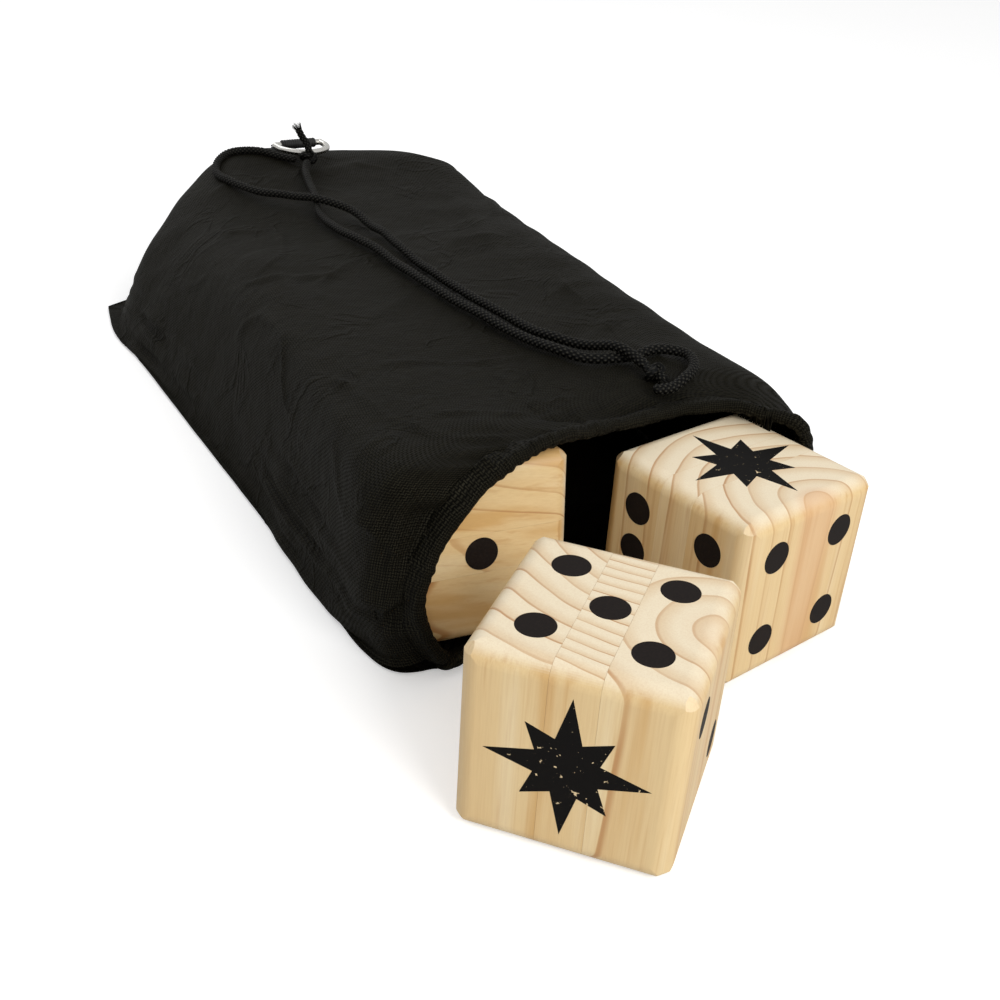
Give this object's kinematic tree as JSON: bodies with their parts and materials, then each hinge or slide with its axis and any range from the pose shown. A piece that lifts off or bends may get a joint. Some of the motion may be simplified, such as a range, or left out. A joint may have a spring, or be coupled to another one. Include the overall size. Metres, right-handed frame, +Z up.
{
  "type": "giant yard dice set",
  "caption": "Large wooden cube dice with painted pips, spilling from a black drawstring carry bag that lies on its side.",
  "frame": {"origin": "on the ground under the bag's lower panel, just inside the mouth", "axes": "+Z up, +Y from the mouth to the bag's closed end, +X to the right when looking into the bag"},
  "size_m": [0.3, 0.7369, 0.1325],
  "materials": {
    "pine_board": "sanded, thin clear lacquer",
    "pine_core": "sanded, thin clear lacquer",
    "pip_paint": "matt black paint",
    "stamp_ink": "worn black ink",
    "bag_cloth": "woven nylon, slight sheen",
    "hem_cloth": "gathered woven nylon",
    "braided_cord": "braided polyester",
    "webbing": "ribbed webbing",
    "ring_metal": "polished nickel plate"
  },
  "bodies": {
    "bag": {"bag_upper_panel": "bag_cloth", "bag_lower_panel": "bag_cloth", "bag_hem_channel": "hem_cloth", "hem_cord": "braided_cord", "drawcord": "braided_cord", "cord_knots": "braided_cord", "ring_tab": "webbing"},
    "front_die": {"front_die_outer_board": "pine_board", "front_die_core_strip": "pine_core", "front_die_inner_board": "pine_board", "front_die_pips": "pip_paint", "front_die_stamp": "stamp_ink"},
    "right_die": {"right_die_outer_board": "pine_board", "right_die_core_strip": "pine_core", "right_die_inner_board": "pine_board", "right_die_pips": "pip_paint", "right_die_stamp": "stamp_ink"},
    "left_die": {"left_die_outer_board": "pine_board", "left_die_core_strip": "pine_core", "left_die_inner_board": "pine_board", "left_die_pips": "pip_paint", "left_die_stamp": "stamp_ink"},
    "inner_left_die": {"inner_left_die_outer_board": "pine_board", "inner_left_die_core_strip": "pine_core", "inner_left_die_inner_board": "pine_board", "inner_left_die_pips": "pip_paint", "inner_left_die_stamp": "stamp_ink"},
    "inner_right_die": {"inner_right_die_outer_board": "pine_board", "inner_right_die_core_strip": "pine_core", "inner_right_die_inner_board": "pine_board", "inner_right_die_pips": "pip_paint", "inner_right_die_stamp": "stamp_ink"},
    "back_die": {"back_die_outer_board": "pine_board", "back_die_core_strip": "pine_core", "back_die_inner_board": "pine_board", "back_die_pips": "pip_paint", "back_die_stamp": "stamp_ink"},
    "ring": {"d_ring": "ring_metal"}
  },
  "joints": [
    {"name": "front_die_roll", "type": "hinge", "parent": "bag", "child": "front_die", "pos_m": [-0.12173, -0.1946, 0.008], "axis": [0.6858, -0.7278, 0], "range_deg": [0, 90]},
    {"name": "right_die_slide", "type": "slide", "parent": "bag", "child": "right_die", "axis": [0.2079, -0.9781, 0], "range_m": [0, 0.11]},
    {"name": "left_die_slide", "type": "slide", "parent": "bag", "child": "left_die", "axis": [0.0576, 0.9983, 0], "range_m": [0, 0.03]},
    {"name": "inner_left_die_slide", "type": "slide", "parent": "bag", "child": "inner_left_die", "axis": [0, 1, 0], "range_m": [-0.025, 0.08]},
    {"name": "inner_right_die_slide", "type": "slide", "parent": "bag", "child": "inner_right_die", "axis": [0, 1, 0], "range_m": [-0.046, 0.069]},
    {"name": "back_die_slide", "type": "slide", "parent": "bag", "child": "back_die", "axis": [0, 1, 0], "range_m": [-0.035, 0.02]},
    {"name": "d_ring_flip", "type": "hinge", "parent": "bag", "child": "ring", "pos_m": [-0.006, 0.453, 0.1056], "axis": [-0.9945, -0.1045, 0], "range_deg": [0, 150]}
  ]
}
